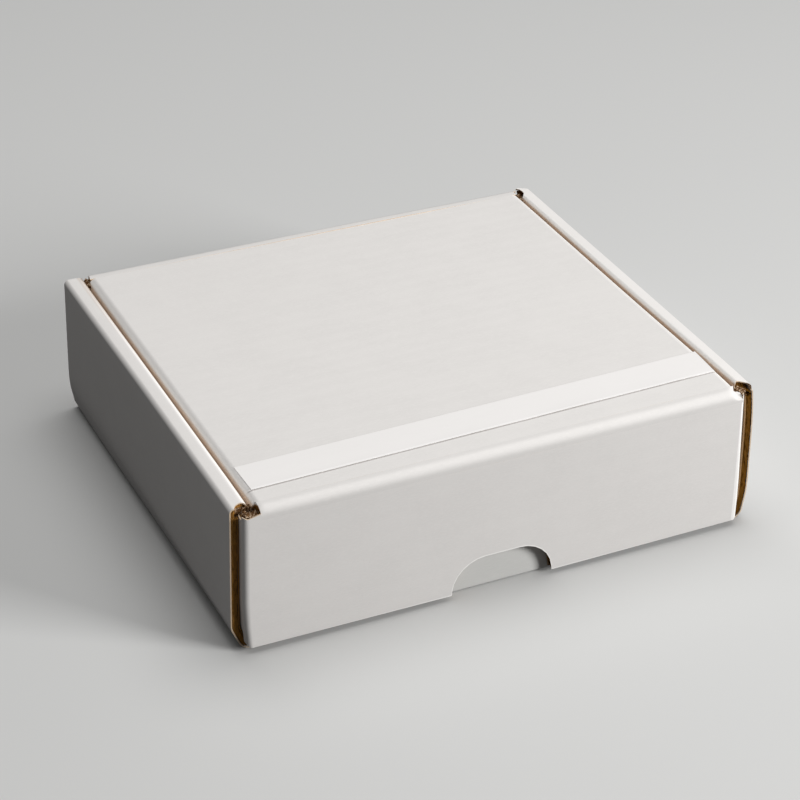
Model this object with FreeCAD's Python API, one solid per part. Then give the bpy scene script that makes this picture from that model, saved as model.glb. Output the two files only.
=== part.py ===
"""Corrugated mailer box with roll-over side walls and a front flap that tucks in at its ears.

The box is folded from one die-cut sheet of white-faced corrugated board. The base, the front
and back walls, the double side walls and the lid stay where they are folded. The front flap
swings on the fold at the lid's front edge. A thin strip lies across the lid near that fold.

Frame: X runs across the box, Y from the front to the back, Z up, all in millimetres.
The origin is at the middle of the underside.
"""

import FreeCAD, Part
import math
import os
from FreeCAD import Vector

# Overall size of the closed box
box_width = 190.0
side_length = 163.0
box_height = 54.0

# The board
board = 3.0
liner = 0.4
edge_recess = 0.6

# Folds, as the radius of the outer face, and the angle that parts the lid's front fold
foot_fold = 1.6
side_foot_fold = 3.5
foot_bend = 20.0
back_fold = 3.0
rail_outer_fold = 1.3
rail_inner_fold = 2.6
lid_edge_fold = 2.0
mitre = 45.0

# Gaps between layers that lie against each other
layer_gap = 0.3
flap_gap = 0.5
ear_gap = 0.6
lid_gap = 0.4
floor_gap = 1.4
sweep_gap = 3.4

# Roll-over side walls, drawn in at the foot, with round reliefs at the rail's two ends
rail_width = 7.0
foot_tuck = 1.0
foot_tuck_height = 9.0
rail_front_relief = 3.2
rail_front_relief_in = 4.8
rail_front_relief_ahead = 0.7
rail_back_relief = 4.0
rail_back_relief_in = 8.4
rail_back_relief_margin = 3.2
rail_relief_depth = 1.2
inner_front_setback = 24.0
inner_back_setback = 3.0
tab_length = 26.0
tab_spacing = 76.0
tab_count = 2
tab_side_play = 0.3

# Corner flaps of the front and back walls, cut lower than the lid's side flaps
corner_flap_length = 42.0
corner_flap_round = 4.0
slant_gap = 1.3

# Side flaps of the lid
dust_flap_depth = 17.0
dust_flap_front = 4.0
dust_flap_back = 9.0
dust_flap_round = 3.0

# Relief cuts in the lid's corners
front_relief = 2.4
front_relief_out = 0.6
front_relief_ahead = 0.7
back_relief = 1.2
back_relief_length = 5.5
back_relief_margin = 2.6

# Front flap
ear_length = 22.0
ear_round = 7.0
ear_step = 1.5
ear_top_slope = 4.0
shoulder_drop = 1.4
foot_chamfer = 2.0
notch_width = 36.0
notch_height = 14.0
notch_corner = 12.0
notch_foot_flare = 0.6

# Strip on the lid
strip_length = 172.4
strip_width = 14.0
strip_thickness = 0.4
strip_from_fold = 12.9
strip_shift = 1.3
strip_turn = 1.35

# Places worked out from the sizes above
half_width = box_width / 2.0
total_depth = side_length + flap_gap + board
flap_face = -total_depth / 2.0
flap_back = flap_face + board
front_face = flap_back + flap_gap
back_face = front_face + side_length
lid_under = box_height - board
wall_top = lid_under - layer_gap
panel_inside = half_width - board
rail_inside = half_width - rail_width
inner_outside = rail_inside + board
lid_half = rail_inside - lid_gap
ear_outside = panel_inside - ear_gap
ear_inside = ear_outside - board
foot_inner_fold = max(foot_fold - board, 0.3)
dust_flap_low = box_height - dust_flap_depth
corner_flap_top = dust_flap_low - slant_gap
shoulder_top = box_height - shoulder_drop
relief_out = lid_half + front_relief_out
ear_tip = front_face + ear_length
far = box_width + side_length


def on_xz(a, b):
    """A point given across and up."""
    return Vector(a, 0, b)


def on_yz(a, b):
    """A point given from front to back and up."""
    return Vector(0, a, b)


def on_xy(a, b):
    """A point given across and from front to back."""
    return Vector(a, b, 0)


def outline(corners, place):
    """Closed face from corners (a, b, radius). A radius above 0 rounds that corner with an arc."""
    count = len(corners)
    ends = []
    edges = []
    for i in range(count):
        a, b, radius = corners[i]
        here = place(a, b)
        before = place(*corners[i - 1][:2])
        after = place(*corners[(i + 1) % count][:2])
        if radius <= 0:
            ends.append((here, here))
            continue
        back = (before - here).normalize()
        forth = (after - here).normalize()
        half_turn = back.getAngle(forth) / 2.0
        reach = radius / math.tan(half_turn)
        middle = (back + forth).normalize()
        centre = here + middle * (radius / math.sin(half_turn))
        start = here + back * reach
        end = here + forth * reach
        edges.append(Part.Arc(start, centre - middle * radius, end).toShape())
        ends.append((start, end))
    for i in range(count):
        start = ends[i][1]
        end = ends[(i + 1) % count][0]
        if (end - start).Length > 1e-6:
            edges.append(Part.LineSegment(start, end).toShape())
    return Part.Face(Part.Wire(Part.__sortEdges__(edges)))


def swept(face, low, high):
    """A face drawn through the origin, moved to low and pulled out to high along its normal axis."""
    box = face.BoundBox
    if box.XLength < 1e-6:
        axis = Vector(1, 0, 0)
    elif box.YLength < 1e-6:
        axis = Vector(0, 1, 0)
    else:
        axis = Vector(0, 0, 1)
    moved = face.copy()
    moved.translate(axis * low)
    return moved.extrude(axis * (high - low))


def block(x0, x1, y0, y1, z0, z1):
    """A box between two corners."""
    return Part.makeBox(x1 - x0, y1 - y0, z1 - z0, Vector(x0, y0, z0))


def mirrored(shape):
    """The same shape on the other side of the box."""
    return shape.mirror(Vector(0, 0, 0), Vector(1, 0, 0))


def both_sides(shape):
    """A shape on the right together with its mirror image on the left."""
    return [shape, mirrored(shape)]


def foot_corners(inset):
    """The side wall's foot fold and the bend above it, on the face inset from the outer one."""
    lean = math.atan2(foot_tuck, foot_tuck_height)
    slant = inset / math.cos(lean)
    fold = half_width - foot_tuck + inset * math.tan(lean) - slant
    bend = foot_tuck_height + (slant - inset) / math.tan(lean)
    return [(fold, inset, side_foot_fold - inset), (half_width - inset, bend, foot_bend - inset)]


def side_wall():
    """Right half of the base with the outer panel, the rail and the inner panel rolled over it."""
    slot_round = (panel_inside - inner_outside) / 2.0 - 0.01
    inner_bend = foot_corners(board)[::-1]
    section = outline([
        (0, 0, 0),
        *foot_corners(0),
        (half_width, box_height, rail_outer_fold),
        (rail_inside, box_height, rail_inner_fold),
        (rail_inside, board + layer_gap, 0),
        (inner_outside, board + layer_gap, 0),
        (inner_outside, lid_under, slot_round),
        (panel_inside, lid_under, slot_round),
        *inner_bend,
        (0, board, 0),
    ], on_xz)
    wall = swept(section, front_face, back_face)
    ends = [
        (front_face, front_face + inner_front_setback),
        (back_face - inner_back_setback, back_face),
    ]
    for y0, y1 in ends:
        wall = wall.cut(block(rail_inside - 1, inner_outside, y0, y1, board, lid_under))
    for relief in rail_reliefs():
        wall = wall.cut(relief)
    return wall


def rail_reliefs():
    """Round cuts through the rail at its front end and at its inner back corner."""
    low = lid_under - rail_relief_depth
    high = box_height + 1
    front = Vector(half_width - rail_front_relief_in, front_face - rail_front_relief_ahead, low)
    back = Vector(half_width - rail_back_relief_in, back_face - rail_back_relief_margin, low)
    return [
        Part.makeCylinder(rail_front_relief, high - low, front),
        Part.makeCylinder(rail_back_relief, high - low, back),
    ]


def raw_end_recess(y0, y1):
    """What is missing between the liners where the outer panel and the rail end in a cut edge."""
    inner_bend = foot_corners(board - liner)[::-1]
    section = outline([
        (rail_inside + liner, liner, 0),
        *foot_corners(liner),
        (half_width - liner, box_height - liner, rail_outer_fold - liner),
        (rail_inside + liner, box_height - liner, rail_inner_fold - liner),
        (rail_inside + liner, lid_under + liner, 0),
        (panel_inside + liner, lid_under + liner, 0),
        *inner_bend,
        (rail_inside + liner, board - liner, 0),
    ], on_xz)
    return swept(section, y0, y1)


def lock_tabs():
    """Tabs under the right inner panel and the slots that they stand in, through the base."""
    tabs = []
    slots = []
    for i in range(tab_count):
        middle = (i - (tab_count - 1) / 2.0) * tab_spacing + (front_face + back_face) / 2.0
        y0 = middle - tab_length / 2.0
        y1 = middle + tab_length / 2.0
        top = board + layer_gap
        tabs.append(block(rail_inside, inner_outside, y0, y1, 0, top))
        slots.append(block(
            rail_inside - tab_side_play, inner_outside + tab_side_play,
            y0 - tab_side_play, y1 + tab_side_play, -1, board + layer_gap,
        ))
    return tabs, slots


def front_fold(start, end):
    """The lid's front fold between two angles above the level, seen from the side."""
    corner = Vector(0, flap_back, lid_under)

    def rim(angle):
        turn = math.radians(angle)
        return corner + Vector(0, -math.cos(turn), math.sin(turn)) * board

    return Part.Face(Part.Wire([
        Part.LineSegment(corner, rim(start)).toShape(),
        Part.Arc(rim(start), rim((start + end) / 2.0), rim(end)).toShape(),
        Part.LineSegment(rim(end), corner).toShape(),
    ]))


def lengthwise_sheet():
    """Front wall, base, back wall and lid as one strip, up to the mitre of the front fold."""
    body = outline([
        (front_face, wall_top, 0),
        (front_face, 0, foot_fold),
        (back_face, 0, foot_fold),
        (back_face, box_height, back_fold),
        (flap_back, box_height, 0),
        (flap_back, lid_under, 0),
        (back_face - board, lid_under, 0),
        (back_face - board, board, foot_inner_fold),
        (front_face + board, board, foot_inner_fold),
        (front_face + board, wall_top, 0),
    ], on_yz)
    sheet = swept(body, -rail_inside, rail_inside)
    sheet = sheet.fuse(swept(front_fold(mitre, 90), -lid_half, lid_half))
    lid_trim = block(lid_half, far, -far, far, wall_top, far)
    trim_depth = board + foot_inner_fold
    walls_trim = [
        block(rail_inside - board, far, front_face - 1, front_face + trim_depth, -1, wall_top),
        block(rail_inside - board, far, back_face - trim_depth, back_face + 1, -1, wall_top),
    ]
    for trim in [lid_trim] + walls_trim:
        for piece in both_sides(trim):
            sheet = sheet.cut(piece)
    return sheet


def corner_flap(wall_face, inward, dust_flap_start):
    """Right corner flap of the wall whose outer face is at wall_face, folded along the side wall.

    Its top edge slants down beside the end of the lid's side flap, which starts that far inside.
    """
    root = rail_inside - board
    tip = wall_face + inward * corner_flap_length
    section = outline([
        (root, wall_face, 0),
        (rail_inside, wall_face, board),
        (rail_inside, tip, 0),
        (root, tip, 0),
    ], on_xy)
    flap = swept(section, board + layer_gap, wall_top)
    start = wall_face + inward * (dust_flap_start + lid_under - slant_gap - wall_top)
    lean = inward * (wall_top - corner_flap_top)
    keep = outline([
        (wall_face, board + layer_gap, 0),
        (tip, board + layer_gap, 0),
        (tip, corner_flap_top, corner_flap_round),
        (start + lean, corner_flap_top, corner_flap_round),
        (start, wall_top, 0),
        (wall_face, wall_top, 0),
    ], on_yz)
    return flap.common(swept(keep, root - 1, rail_inside + 1))


def dust_flap():
    """Right side flap of the lid, folded down inside the rail, with slanted ends."""
    section = outline([
        (lid_half - lid_edge_fold - board, box_height, 0),
        (lid_half, box_height, lid_edge_fold),
        (lid_half, dust_flap_low, 0),
        (lid_half - board, dust_flap_low, 0),
        (lid_half - board, lid_under, 0),
        (lid_half - lid_edge_fold - board, lid_under, 0),
    ], on_xz)
    y0 = front_face + dust_flap_front
    y1 = back_face - dust_flap_back
    flap = swept(section, y0, y1)
    lean = lid_under - dust_flap_low
    keep = outline([
        (y0, box_height, 0),
        (y1, box_height, 0),
        (y1, lid_under, 0),
        (y1 - lean, dust_flap_low, dust_flap_round),
        (y0 + lean, dust_flap_low, dust_flap_round),
        (y0, lid_under, 0),
    ], on_yz)
    return flap.common(swept(keep, 0, half_width))


def lid_edge_round(y0, y1):
    """What is trimmed off the lid's right edge to round it, where it has no side flap."""
    x0 = lid_half - lid_edge_fold
    z0 = box_height - lid_edge_fold
    square = block(x0, lid_half + 1, y0, y1, z0, box_height + 1)
    centre = Vector(x0, y0, z0)
    return square.cut(Part.makeCylinder(lid_edge_fold, y1 - y0, centre, Vector(0, 1, 0)))


def lid_reliefs():
    """Round cuts through the lid at its right front and back corners."""
    middle = front_face - front_relief_ahead
    front = Part.makeCylinder(front_relief, board + 2, Vector(relief_out, middle, lid_under - 1))
    front = front.fuse(block(
        relief_out - front_relief, relief_out + front_relief, flap_face - 1, middle,
        lid_under - 1, box_height + 1,
    ))
    x0 = lid_half - back_relief
    y1 = back_face - back_relief_margin
    slot = outline([
        (x0, y1 - back_relief_length, back_relief / 2.0),
        (lid_half + 1, y1 - back_relief_length, 0),
        (lid_half + 1, y1, 0),
        (x0, y1, back_relief - 0.01),
    ], on_xy)
    return [front, swept(slot, lid_under - 1, box_height + 1)]


def box_blank():
    """The folded sheet without its front flap."""
    base_front_cut = block(
        -rail_inside - layer_gap, rail_inside + layer_gap,
        front_face - 1, front_face + board + foot_inner_fold, -1, board + foot_inner_fold,
    )
    base_back_cut = block(
        -rail_inside - layer_gap, rail_inside + layer_gap,
        back_face - board - foot_inner_fold, back_face + 1, -1, board + foot_inner_fold,
    )
    wall = side_wall()
    tabs, slots = lock_tabs()
    recesses = [
        raw_end_recess(front_face - 1, front_face + edge_recess),
        raw_end_recess(back_face - edge_recess, back_face + 1),
    ]
    side = wall
    for piece in [base_front_cut, base_back_cut] + recesses + slots:
        side = side.cut(piece)
    body = side.fuse([mirrored(side), lengthwise_sheet()])
    for slot in slots:
        for piece in both_sides(slot):
            body = body.cut(piece)
    extra = both_sides(dust_flap())
    for tab in tabs:
        extra += both_sides(tab)
    extra += both_sides(corner_flap(front_face, 1, dust_flap_front))
    extra += both_sides(corner_flap(back_face, -1, dust_flap_back))
    body = body.fuse(extra)
    for piece in lid_reliefs() + [lid_edge_round(flap_face, back_face)]:
        for cutter in both_sides(piece):
            body = body.cut(cutter)
    return body.removeSplitter()


def front_flap():
    """The flap on the lid's front fold with its two ears and its thumb notch."""
    panel = block(-ear_inside, ear_inside, flap_face, flap_back, floor_gap, lid_under)
    flap = panel.fuse(swept(front_fold(0, mitre), -ear_inside, ear_inside))
    for piece in both_sides(block(relief_out - front_relief, far, -far, far, shoulder_top, far)):
        flap = flap.cut(piece)
    flap = flap.fuse(both_sides(ear()))
    for piece in both_sides(foot_corner()):
        flap = flap.cut(piece)
    return flap.cut(thumb_notch()).removeSplitter()


def ear():
    """Right ear: it turns back at the flap's end and goes between the outer panel and the corner flap.

    Below, it stays within reach of the fold that it swings on, so that it clears the base.
    """
    plan = outline([
        (ear_inside, flap_face, 0),
        (ear_outside, flap_face, board),
        (ear_outside, ear_tip, 0),
        (ear_inside, ear_tip, 0),
    ], on_xy)
    reach = box_height - board - sweep_gap
    under_rail = lid_under - ear_gap
    side_view = outline([
        (flap_face, floor_gap, 0),
        (flap_back, floor_gap, 0),
        (flap_back, box_height - reach, 0),
        (ear_tip, box_height - reach, 0),
        (ear_tip, under_rail - ear_top_slope, 0),
        (front_face + ear_step, under_rail, 0),
        (front_face + ear_step, shoulder_top, 0),
        (flap_face, shoulder_top, 0),
    ], on_yz)
    body = swept(plan, floor_gap, shoulder_top).common(swept(side_view, 0, half_width))
    swing = Part.makeCylinder(reach, half_width, Vector(0, flap_face, box_height), Vector(1, 0, 0))
    behind = block(0, half_width, flap_back, ear_tip, 0, box_height)
    body = body.cut(behind.cut(swing))
    tip_edges = [e for e in body.Edges if e.BoundBox.YMin > ear_tip - 0.01 and e.BoundBox.ZLength < 0.01]
    return body.makeFillet(ear_round, tip_edges)


def foot_corner():
    """What is trimmed off the flap's right bottom corner."""
    face = outline([
        (ear_outside - foot_chamfer, floor_gap, 0),
        (ear_outside + 1, floor_gap + foot_chamfer + 1, 0),
        (ear_outside + 1, floor_gap - 1, 0),
        (ear_outside - foot_chamfer, floor_gap - 1, 0),
    ], on_xz)
    return swept(face, flap_face - 1, flap_back + board)


def thumb_notch():
    """The opening for a thumb at the middle of the flap's bottom edge."""
    half = notch_width / 2.0
    face = outline([
        (-half - notch_foot_flare, -1, 0),
        (-half + notch_foot_flare, notch_height, notch_corner),
        (half - notch_foot_flare, notch_height, notch_corner),
        (half + notch_foot_flare, -1, 0),
    ], on_xz)
    return swept(face, flap_face - 1, flap_back + layer_gap)


def seal_strip():
    """The thin strip that is stuck down across the lid, a little askew."""
    middle = flap_face + strip_from_fold + strip_width / 2.0
    strip = block(
        -strip_length / 2.0, strip_length / 2.0, -strip_width / 2.0, strip_width / 2.0,
        0, strip_thickness,
    )
    strip.rotate(Vector(0, 0, 0), Vector(0, 0, 1), strip_turn)
    strip.translate(Vector(strip_shift, middle, box_height))
    return strip


def save(name, shape):
    """Write one piece, and say what it is."""
    shape.exportStep("parts/" + name + ".step")
    box = shape.BoundBox
    print(
        name, "solids", len(shape.Solids), "valid", shape.isValid(), "volume", round(shape.Volume, 1),
        "from", [round(v, 2) for v in (box.XMin, box.YMin, box.ZMin)],
        "to", [round(v, 2) for v in (box.XMax, box.YMax, box.ZMax)],
    )


os.makedirs("parts", exist_ok=True)
save("box_blank", box_blank())
save("front_flap", front_flap())
save("seal_strip", seal_strip())
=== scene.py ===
"""Looks of the corrugated mailer box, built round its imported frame.

Every panel is a folded sheet of corrugated board with three layers of its own: the white outer
liner, the waved fluting and the brown inner liner. A sheet starts from a few corners, is pulled
out, rounded at its folds, given its thickness and cut to shape. Lengths are in millimetres until
a finished piece is scaled to metres.
"""

import math

import bmesh
import bpy
from mathutils import Matrix, Vector, noise


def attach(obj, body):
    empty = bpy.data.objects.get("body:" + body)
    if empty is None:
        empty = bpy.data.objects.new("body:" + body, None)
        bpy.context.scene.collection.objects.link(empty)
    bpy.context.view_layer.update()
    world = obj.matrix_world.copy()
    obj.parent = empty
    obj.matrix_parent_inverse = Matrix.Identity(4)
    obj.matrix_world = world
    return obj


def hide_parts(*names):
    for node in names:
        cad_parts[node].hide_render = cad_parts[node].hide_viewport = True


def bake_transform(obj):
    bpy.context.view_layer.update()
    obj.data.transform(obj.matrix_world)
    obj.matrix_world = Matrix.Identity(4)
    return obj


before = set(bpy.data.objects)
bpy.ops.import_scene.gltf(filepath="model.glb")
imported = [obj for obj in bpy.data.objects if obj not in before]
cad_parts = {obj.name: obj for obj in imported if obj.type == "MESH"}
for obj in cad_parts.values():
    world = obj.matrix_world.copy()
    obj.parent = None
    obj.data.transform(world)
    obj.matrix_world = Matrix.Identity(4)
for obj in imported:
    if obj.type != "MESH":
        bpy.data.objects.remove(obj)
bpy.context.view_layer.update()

# The vector noise of the uneven shape starts from the clock, unless it is given a start
noise.seed_set(1)

MM = 0.001

# Sizes and gaps of the closed box, as in the part's source
BOX_WIDTH = 190.0
SIDE_LENGTH = 163.0
BOX_HEIGHT = 54.0
BOARD = 3.0
FLAP_GAP = 0.5
LAYER_GAP = 0.3
LID_GAP = 0.4
EAR_GAP = 0.6
FLOOR_GAP = 1.4
SWEEP_GAP = 3.4
SLANT_GAP = 1.3
RAIL_WIDTH = 7.0
DUST_FLAP_DEPTH = 17.0
DUST_FLAP_FRONT = 4.0
DUST_FLAP_BACK = 9.0
CORNER_FLAP_LENGTH = 42.0
EAR_LENGTH = 22.0
EAR_ROUND = 7.0
TAB_LENGTH = 26.0
TAB_SPACING = 76.0
STRIP_LENGTH = 172.4
STRIP_WIDTH = 14.0
STRIP_FROM_FOLD = 12.9

# Outer radii of the folds. The foot, the rails and the lid's edges follow the photo, so they are
# a little tighter or softer than in the source.
FOOT_FOLD = 0.9
BACK_FOLD = 3.0
LEFT_RAIL_FOLD = 1.6
RIGHT_RAIL_FOLD = 0.7
RAIL_INNER_FOLD = 2.6
LID_EDGE_FOLD = 3.2

# Layers of the board
OUTER_LINER = 0.42
INNER_LINER = 0.36
FLUTE_SHEET = 0.24
FLUTE_REACH = 0.9
FLUTE_PITCH = 6.35
FLUTE_STEP = 0.8
CORE = 2.25
CORE_INSIDE = BOARD - 0.31
CORE_GRAIN = 0.27
TORN_GRAIN = 0.22

# Places worked out from the sizes
HALF_WIDTH = BOX_WIDTH / 2.0
FLAP_FACE = -(SIDE_LENGTH + FLAP_GAP + BOARD) / 2.0
FLAP_BACK = FLAP_FACE + BOARD
FRONT_FACE = FLAP_BACK + FLAP_GAP
BACK_FACE = FRONT_FACE + SIDE_LENGTH
LID_UNDER = BOX_HEIGHT - BOARD
WALL_TOP = LID_UNDER - LAYER_GAP
RAIL_INSIDE = HALF_WIDTH - RAIL_WIDTH
INNER_OUTSIDE = RAIL_INSIDE + BOARD
WALL_HALF = RAIL_INSIDE - 2 * BOARD
LID_HALF = RAIL_INSIDE - LID_GAP
EAR_OUTSIDE = HALF_WIDTH - BOARD - EAR_GAP
EAR_TIP = FRONT_FACE + EAR_LENGTH
DUST_FLAP_LOW = BOX_HEIGHT - DUST_FLAP_DEPTH
SHOULDER_TOP = BOX_HEIGHT - 1.4
BASE_TAIL = 6.0
FOLD_REACH = BOARD + 1.5

# Cut-outs at the upper corners: their depth, and how far from the middle the front two start
RELIEF_FOOT = LID_UNDER - 3
RELIEF_HEAD = BOX_HEIGHT + 2
LEFT_HOLE = LID_HALF + 0.6
LEFT_HOLE_RADIUS = 2.4
LEFT_RELIEF = LEFT_HOLE - LEFT_HOLE_RADIUS
RIGHT_RELIEF = 89.2

# The flap's ends and its thumb notch, a little off the middle
FLAP_LEFT = -92.4
FLAP_RIGHT = 89.7
FLAP_FOOT_RIGHT = 90.4
NOTCH_MIDDLE = -0.75
NOTCH_FOOT = 18.6
NOTCH_HEAD = 17.4
NOTCH_HEIGHT = 14
NOTCH_ROUND = 12
NOTCH_PRESSED = 18.2

# The strip lies a little askew
STRIP_TURN = math.radians(1.35)
STRIP_SHIFT = 1.3
STRIP_FRONT = FLAP_FACE + STRIP_FROM_FOLD

# Where the hand-folded shape changes: between lid and rails, and as deep as the box may reach
RAIL_GAP = 87.7
DEEPEST = 83.22

ACROSS = Vector((1, 0, 0))
BACKWARD = Vector((0, 1, 0))
UPWARD = Vector((0, 0, 1))
RIGHT_AND_LEFT = (False, True)


def on_xz(a, b):
    """A point given across and up."""
    return Vector((a, 0, b))


def on_yz(a, b):
    """A point given from front to back and up."""
    return Vector((0, a, b))


def on_xy(a, b):
    """A point given across and from front to back."""
    return Vector((a, b, 0))


def as_mesh(bm, name, *materials):
    """Turn a bmesh into a mesh with its materials."""
    mesh = bpy.data.meshes.new(name)
    bm.to_mesh(mesh)
    bm.free()
    for material in materials:
        mesh.materials.append(material)
    return mesh


def in_scene(name, data):
    """Put a mesh, a lamp or a camera into the scene."""
    thing = bpy.data.objects.new(name, data)
    bpy.context.collection.objects.link(thing)
    return thing


# Paper finishes


class Paper:
    """A paper surface: cloudy tone, fine fibre, faint streaks along the flutes and a soft bump."""

    def __init__(
        self, name, base, mottle, streaks, roughness=0.62, bump=0.12, washboard=0.0, sheen=0.28,
    ):
        self.material = bpy.data.materials.new(name)
        self.material.use_nodes = True
        self.nodes = self.material.node_tree.nodes
        self.links = self.material.node_tree.links
        self.shader = self.nodes["Principled BSDF"]
        self.shader.inputs["Roughness"].default_value = roughness
        self.shader.inputs["Specular IOR Level"].default_value = sheen
        self.place = self.nodes.new("ShaderNodeTexCoord").outputs["Object"]
        clouds = self.cloud(70, 3)
        fibres = self.cloud(1900, 2, streaks)
        specks = self.cloud(2300, 2)
        dark = tuple(c * (1 - 0.4 * mottle) for c in base)
        light = tuple(min(1.0, c * (1 + mottle * 0.6)) for c in base)
        darker = tuple(c * (1 - 1.6 * mottle) for c in base)
        colour = self.blended(self.ramp(clouds, 0.35, 0.65), dark, base)
        colour = self.blended(self.ramp(fibres, 0.42, 0.7, 0.0, 0.6), colour, light)
        self.colour = self.blended(self.ramp(specks, 0.58, 0.8, 0.0, 0.7), colour, darker)
        normal = self.bumped(self.blended(0.45, fibres, specks), bump, 0.00012)
        if washboard:
            normal = self.bumped(self.flute_lines(), washboard, 0.0002, normal)
        self.links.new(normal, self.shader.inputs["Normal"])

    def cloud(self, scale, detail, stretch=(1, 1, 1), roughness=0.6):
        """Noise of that many patches to the metre."""
        mapping = self.nodes.new("ShaderNodeMapping")
        mapping.inputs["Scale"].default_value = [scale * s for s in stretch]
        self.links.new(self.place, mapping.inputs["Vector"])
        texture = self.nodes.new("ShaderNodeTexNoise")
        texture.inputs["Scale"].default_value = 1.0
        texture.inputs["Detail"].default_value = detail
        texture.inputs["Roughness"].default_value = roughness
        self.links.new(mapping.outputs["Vector"], texture.inputs["Vector"])
        return texture.outputs["Fac"]

    def flute_lines(self):
        """Bands at the flutes' pitch that show through the liner, on level and upright faces."""
        wave = self.nodes.new("ShaderNodeTexWave")
        wave.wave_type = "BANDS"
        wave.bands_direction = "X"
        wave.inputs["Scale"].default_value = 1.0
        wave.inputs["Distortion"].default_value = 0.6
        turned = self.nodes.new("ShaderNodeMapping")
        rate = 1000.0 / FLUTE_PITCH * math.pi / 10.0
        turned.inputs["Scale"].default_value = (rate, rate, rate)
        joined = self.nodes.new("ShaderNodeVectorMath")
        joined.operation = "DOT_PRODUCT"
        joined.inputs[1].default_value = (0, 1, 1)
        self.links.new(self.place, turned.inputs["Vector"])
        self.links.new(turned.outputs["Vector"], joined.inputs[0])
        self.links.new(joined.outputs["Value"], wave.inputs["Vector"])
        return wave.outputs["Fac"]

    def bumped(self, height, strength, distance, under=None):
        """The surface's direction with a relief, on top of another one where given."""
        relief = self.nodes.new("ShaderNodeBump")
        relief.inputs["Strength"].default_value = strength
        relief.inputs["Distance"].default_value = distance
        self.links.new(height, relief.inputs["Height"])
        if under is not None:
            self.links.new(under, relief.inputs["Normal"])
        return relief.outputs["Normal"]

    def blended(self, share, a, b, kind="MIX"):
        """Two colours in a share, each a value or a socket."""
        mix = self.nodes.new("ShaderNodeMix")
        mix.data_type = "RGBA"
        mix.blend_type = kind
        for socket, value in ((mix.inputs[0], share), (mix.inputs[6], a), (mix.inputs[7], b)):
            if isinstance(value, bpy.types.NodeSocket):
                self.links.new(value, socket)
            elif isinstance(value, (tuple, list)):
                socket.default_value = (*value, 1.0)
            else:
                socket.default_value = value
        return mix.outputs[2]

    def ramp(self, value, low, high, start=0.0, end=1.0):
        """A smooth rise from start to end while the value goes from low to high."""
        node = self.nodes.new("ShaderNodeMapRange")
        node.interpolation_type = "SMOOTHSTEP"
        for socket, number in zip(node.inputs[1:5], (low, high, start, end)):
            socket.default_value = number
        self.links.new(value, node.inputs[0])
        return node.outputs[0]

    def worked(self, operation, a, b=None):
        """The result of one sum, each side a value or a socket."""
        node = self.nodes.new("ShaderNodeMath")
        node.operation = operation
        for socket, value in zip(node.inputs, (a, b)):
            if isinstance(value, bpy.types.NodeSocket):
                self.links.new(value, socket)
            elif value is not None:
                socket.default_value = value
        return node.outputs[0]

    def axes(self):
        """Where a point lies across, from front to back and up, in metres."""
        split = self.nodes.new("ShaderNodeSeparateXYZ")
        self.links.new(self.place, split.inputs[0])
        return split.outputs

    def ahead_of_strip(self):
        """How far ahead of the strip's front edge a point lies, in metres."""
        turned = self.nodes.new("ShaderNodeVectorMath")
        turned.operation = "DOT_PRODUCT"
        turned.inputs[1].default_value = (math.tan(STRIP_TURN), -1.0, 0.0)
        self.links.new(self.place, turned.inputs[0])
        offset = (STRIP_FRONT - STRIP_SHIFT * math.tan(STRIP_TURN)) * MM
        return self.worked("ADD", turned.outputs["Value"], offset)

    def painted(self, colour=None):
        """The material, in the colour given or else in the paper's own."""
        if colour is None:
            colour = self.colour
        self.links.new(colour, self.shader.inputs["Base Color"])
        return self.material


def worn_folds(paper, inward, outward, shade_tint, crease, low=0.0522, strip_shadow=False):
    """White paper with painted shade, warmed as by light thrown back from the brown board, where a
    tight fold turns down into the gap beside the lid.

    The painted shade comes in across the box between two distances from the middle, and below the
    top face. The crease between two more distances gets a painted highlight. A fine painted shadow
    line may run along the strip's front edge.
    """
    colour = paper.colour
    # A painted shadow line just ahead of the strip's front edge
    if strip_shadow:
        ahead = paper.ahead_of_strip()
        line = paper.worked(
            "MULTIPLY", paper.ramp(ahead, -0.0003, 0.0), paper.ramp(ahead, 0.00062, 0.00038),
        )
        colour = paper.blended(line, colour, STRIP_SHADOW_TONE)
    axes = paper.axes()
    side = paper.worked("ABSOLUTE", axes["X"])
    below_top = paper.worked(
        "MULTIPLY", paper.ramp(side, inward * MM, outward * MM), paper.ramp(axes["Z"], 0.0537, low),
    )
    # Painted warm shade where the fold turns down into the gap
    gap_shade = paper.worked("MULTIPLY", below_top, paper.ramp(axes["Z"], 0.040, 0.046))
    colour = paper.blended(gap_shade, colour, shade_tint)
    # A painted highlight along the crease
    crease_highlight = paper.worked(
        "MULTIPLY", paper.ramp(side, crease[0] * MM, crease[1] * MM),
        paper.ramp(axes["Z"], 0.0525, 0.0532, 0.0, 0.8),
    )
    return paper.painted(paper.blended(crease_highlight, colour, HIGHLIGHT_TONE))


def pressed_edge(paper):
    """White paper with a painted highlight along the flap's bottom, its notch and its right end."""
    axes = paper.axes()
    worked = paper.worked
    along = worked("ABSOLUTE", worked("SUBTRACT", axes["X"], NOTCH_MIDDLE * MM))
    beside = worked("MAXIMUM", worked("SUBTRACT", along, 0.0060), 0.0)
    above = worked("MAXIMUM", worked("SUBTRACT", axes["Z"], 0.0020), 0.0)
    reach = worked(
        "SQRT", worked("ADD", worked("MULTIPLY", beside, beside), worked("MULTIPLY", above, above)),
    )
    round_notch = paper.ramp(reach, 0.0127, 0.0124)
    at_foot = paper.ramp(axes["Z"], 0.0024, 0.0019)
    at_end = paper.ramp(axes["X"], 0.0868, 0.0872)
    # Where the painted highlight lies
    edge = worked("MAXIMUM", worked("MAXIMUM", round_notch, at_foot), at_end)
    return paper.painted(paper.blended(edge, paper.colour, HIGHLIGHT_TONE))


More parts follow.
